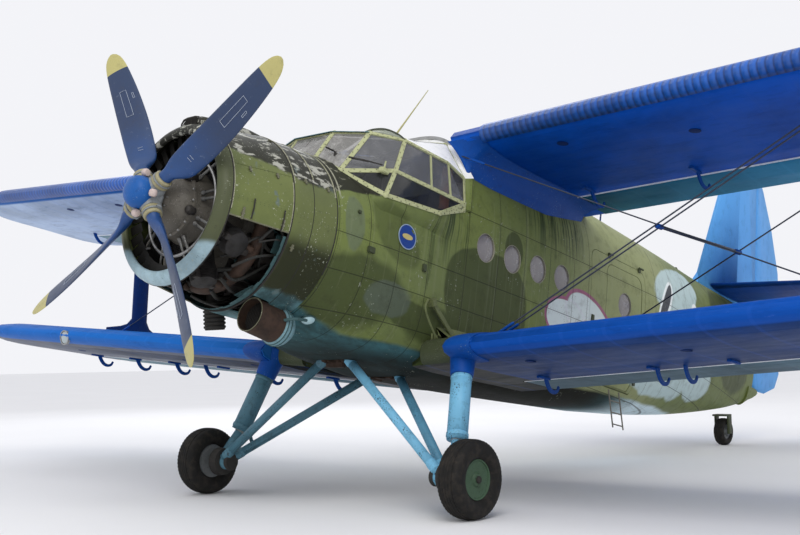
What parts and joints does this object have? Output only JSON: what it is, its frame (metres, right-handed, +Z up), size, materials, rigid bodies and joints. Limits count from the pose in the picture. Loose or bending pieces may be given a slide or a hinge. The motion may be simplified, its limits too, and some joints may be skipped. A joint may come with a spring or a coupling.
{
  "type": "single-engined cabin biplane",
  "caption": "Parked cabin biplane with a radial engine, turning propeller, hinged control surfaces and doors, and a fixed tail-wheel gear.",
  "frame": {"origin": "centre of the bounding box, on the ground under the wheels", "axes": "+X to port along the wings, +Y towards the tail, +Z up; the fuselage leans back onto its tail wheel"},
  "size_m": [18.176, 12.5906, 4.2546],
  "materials": {
    "olive_skin": "weathered olive paint on sheet",
    "pale_frame": "pale green primer on riveted strips",
    "clear_panes": "dull transparent panes",
    "engine_metal": "oily cast metal",
    "hub_metal": "blue paint on steel",
    "blade_metal": "blue paint on forged blades",
    "blue_fabric": "deep blue doped fabric",
    "pale_fabric": "pale blue doped fabric",
    "sky_fabric": "light blue doped fabric",
    "blue_metal": "deep blue paint on metal",
    "slat_metal": "deep blue paint on corrugated sheet",
    "wire_steel": "dark steel streamlined wire",
    "gear_metal": "chipped sky blue paint on steel",
    "tyre_rubber": "weathered rubber",
    "wheel_metal": "dull painted alloy"
  },
  "bodies": {
    "airframe": {"cockpit_section": "olive_skin", "cabin_section": "olive_skin", "tail_section": "olive_skin", "canopy_frame": "pale_frame", "canopy_glass": "clear_panes", "cowl_nose_ring": "olive_skin", "cowl_side_panels": "olive_skin", "cowl_rear_band": "olive_skin", "air_scoop": "olive_skin", "cooler_duct": "engine_metal", "exhaust_pipe": "engine_metal", "engine": "engine_metal", "upper_wing_port": "blue_fabric", "upper_wing_starboard": "blue_fabric", "slat_port": "slat_metal", "slat_starboard": "slat_metal", "lower_wing_port": "blue_fabric", "lower_wing_starboard": "blue_fabric", "interplane_strut_port": "blue_metal", "interplane_strut_starboard": "blue_metal", "front_flying_wires_port": "wire_steel", "front_flying_wires_starboard": "wire_steel", "rear_flying_wire_port": "wire_steel", "rear_flying_wire_starboard": "wire_steel", "landing_wire_port": "wire_steel", "landing_wire_starboard": "wire_steel", "fin": "sky_fabric", "tailplane_port": "blue_fabric", "tailplane_starboard": "blue_fabric", "tailplane_strut_port": "blue_metal", "tailplane_strut_starboard": "blue_metal", "gear_leg_port": "gear_metal", "gear_leg_starboard": "gear_metal", "gear_front_brace_port": "gear_metal", "gear_front_brace_starboard": "gear_metal", "gear_rear_brace_port": "gear_metal", "gear_rear_brace_starboard": "gear_metal"},
    "propeller": {"propeller_hub": "hub_metal", "propeller_blade_1": "blade_metal", "propeller_blade_2": "blade_metal", "propeller_blade_3": "blade_metal", "propeller_blade_4": "blade_metal"},
    "upper_flap_port": {"upper_flap_port": "pale_fabric"},
    "aileron_port": {"aileron_port": "pale_fabric"},
    "lower_flap_port": {"lower_flap_port": "pale_fabric"},
    "upper_flap_starboard": {"upper_flap_starboard": "pale_fabric"},
    "aileron_starboard": {"aileron_starboard": "pale_fabric"},
    "lower_flap_starboard": {"lower_flap_starboard": "pale_fabric"},
    "elevator": {"elevator_port": "blue_fabric", "elevator_starboard": "blue_fabric"},
    "rudder": {"rudder": "sky_fabric"},
    "cargo_door": {"cargo_door": "olive_skin"},
    "passenger_door": {"passenger_door": "olive_skin"},
    "main_wheel_port": {"main_tyre_port": "tyre_rubber", "main_rim_port": "wheel_metal"},
    "main_wheel_starboard": {"main_tyre_starboard": "tyre_rubber", "main_rim_starboard": "wheel_metal"},
    "tail_fork": {"tail_fork": "gear_metal"},
    "tail_wheel": {"tail_tyre": "tyre_rubber", "tail_rim": "wheel_metal"}
  },
  "joints": [
    {"name": "propeller_spin", "type": "hinge", "parent": "airframe", "child": "propeller", "pos_m": [0, -6.01369, 2.67834], "axis": [0, 0.9805, -0.1964], "continuous": true},
    {"name": "upper_flap_port_hinge", "type": "hinge", "parent": "airframe", "child": "upper_flap_port", "pos_m": [2.88, -1.04534, 3.17955], "axis": [-0.9987, -0.01, -0.0499], "range_deg": [0, 40]},
    {"name": "aileron_port_hinge", "type": "hinge", "parent": "airframe", "child": "aileron_port", "pos_m": [6.445, -1.00962, 3.35785], "axis": [-0.9987, -0.01, -0.0499], "range_deg": [-30, 14]},
    {"name": "lower_flap_port_hinge", "type": "hinge", "parent": "airframe", "child": "lower_flap_port", "pos_m": [3.665, -2.20774, 1.32868], "axis": [-0.9975, -0.0138, -0.0689], "range_deg": [0, 40]},
    {"name": "upper_flap_starboard_hinge", "type": "hinge", "parent": "airframe", "child": "upper_flap_starboard", "pos_m": [-2.88, -1.04534, 3.17955], "axis": [-0.9987, 0.01, 0.0499], "range_deg": [0, 40]},
    {"name": "aileron_starboard_hinge", "type": "hinge", "parent": "airframe", "child": "aileron_starboard", "pos_m": [-6.445, -1.00962, 3.35785], "axis": [-0.9987, 0.01, 0.0499], "range_deg": [-30, 14]},
    {"name": "lower_flap_starboard_hinge", "type": "hinge", "parent": "airframe", "child": "lower_flap_starboard", "pos_m": [-3.665, -2.20774, 1.32868], "axis": [-0.9975, 0.0138, 0.0689], "range_deg": [0, 40]},
    {"name": "elevator_hinge", "type": "hinge", "parent": "airframe", "child": "elevator", "pos_m": [0, 4.93135, 2.07668], "axis": [-1, 0, 0], "range_deg": [-42.5, 22.5]},
    {"name": "rudder_hinge", "type": "hinge", "parent": "airframe", "child": "rudder", "pos_m": [0, 5.35177, 2.50545], "axis": [0, 0.1377, 0.9905], "range_deg": [-28, 28]},
    {"name": "cargo_door_hinge", "type": "hinge", "parent": "airframe", "child": "cargo_door", "pos_m": [0.862, -0.0495, 2.41363], "axis": [0, -0.9805, 0.1964], "range_deg": [0, 90]},
    {"name": "passenger_door_hinge", "type": "hinge", "parent": "cargo_door", "child": "passenger_door", "pos_m": [0.74592, -0.56986, 1.58776], "axis": [0.0663, 0.196, 0.9784], "range_deg": [0, 90]},
    {"name": "main_wheel_port_spin", "type": "hinge", "parent": "airframe", "child": "main_wheel_port", "pos_m": [1.686, -4.03544, 0.33], "axis": [1, 0, 0], "continuous": true},
    {"name": "main_wheel_starboard_spin", "type": "hinge", "parent": "airframe", "child": "main_wheel_starboard", "pos_m": [-1.686, -4.03544, 0.33], "axis": [1, 0, 0], "continuous": true},
    {"name": "tail_fork_swivel", "type": "hinge", "parent": "airframe", "child": "tail_fork", "pos_m": [0, 4.08236, 0.195], "axis": [0, 0, 1], "continuous": true},
    {"name": "tail_wheel_spin", "type": "hinge", "parent": "tail_fork", "child": "tail_wheel", "pos_m": [0, 4.14236, 0.195], "axis": [1, 0, 0], "continuous": true}
  ]
}
